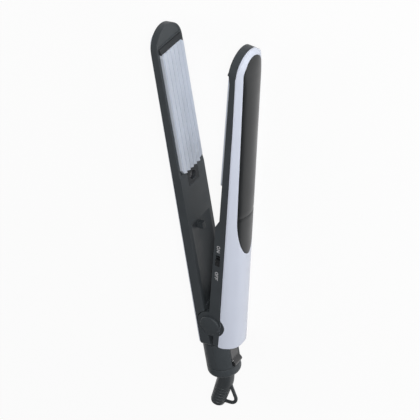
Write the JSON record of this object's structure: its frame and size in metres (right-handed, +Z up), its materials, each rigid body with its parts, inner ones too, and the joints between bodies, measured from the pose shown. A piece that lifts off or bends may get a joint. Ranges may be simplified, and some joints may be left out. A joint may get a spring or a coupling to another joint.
{
  "type": "hair waver",
  "caption": "Hand-held hair waver: two long round-tipped arms hinged near the tail, ridged plates inside, slide switch, tail lock and a bent swivelling cord relief with a hanging loop.",
  "frame": {"origin": "on the hinge pin's axis, in the flat underside of the lower hinge cap, which is the height of the surface the waver lies on", "axes": "+Z up along the hinge pin, +Y along the fixed arm towards its tip, +X from the fixed arm towards the moving arm"},
  "size_m": [0.0801, 0.3123, 0.0325],
  "materials": {
    "dark_shell": "satin moulded plastic",
    "lilac_shell": "glossy pearl lilac",
    "inlay": "charcoal, fine satin gloss",
    "plate_coating": "satin ceramic-coated aluminium",
    "carrier": "matt heat-resistant plastic",
    "gloss_black": "glossy black plastic",
    "heater": "foil-wrapped ceramic heater",
    "silicone": "matt silicone",
    "steel": "zinc-plated",
    "lettering": "printed white",
    "board": "solder mask",
    "contact": "bright",
    "relief_rubber": "matt soft plastic"
  },
  "bodies": {
    "fixed_arm": {"arm_a_frame": "dark_shell", "arm_a_cover": "lilac_shell", "arm_a_inlay_front": "inlay", "arm_a_inlay_rear": "inlay", "plate_a": "plate_coating", "carrier_a": "carrier", "heater_a": "heater", "pads_a": "silicone", "screw_a": "steel", "leads_a": "silicone", "hinge_pin": "steel", "hinge_cap_top": "dark_shell", "hinge_cap_bottom": "dark_shell", "return_spring": "steel", "collar_cover": "dark_shell", "collar_screws": "steel", "tail_cap": "dark_shell", "contact_block": "contact"},
    "moving_arm": {"arm_b_frame": "dark_shell", "arm_b_cover": "lilac_shell", "arm_b_inlay_front": "inlay", "arm_b_inlay_rear": "inlay", "plate_b": "plate_coating", "carrier_b": "carrier", "heater_b": "heater", "pads_b": "silicone", "screw_b": "steel", "leads_b": "silicone", "switch_body": "carrier", "switch_legend": "lettering", "control_board": "board"},
    "switch": {"switch_knob": "gloss_black"},
    "lock": {"lock_slider": "gloss_black"},
    "relief": {"swivel_stem": "relief_rubber", "relief_sleeve": "relief_rubber", "hanging_loop": "relief_rubber"}
  },
  "joints": [
    {"name": "arm_hinge", "type": "hinge", "parent": "fixed_arm", "child": "moving_arm", "pos_m": [0, 0, 0.0159], "axis": [0, 0, 1], "range_deg": [0, 13], "stiffness_Nm_per_rad": 0.6, "springref_deg": -17.19, "deforming": ["return_spring"]},
    {"name": "switch_slide", "type": "slide", "parent": "moving_arm", "child": "switch", "axis": [0.225, 0.9744, 0], "range_m": [0, 0.0038]},
    {"name": "lock_slide", "type": "slide", "parent": "fixed_arm", "child": "lock", "axis": [0, 1, 0], "range_m": [0, 0.0035]},
    {"name": "relief_swivel", "type": "hinge", "parent": "fixed_arm", "child": "relief", "pos_m": [-0.00535, -0.05, 0.0159], "axis": [0, 1, 0], "continuous": true}
  ]
}
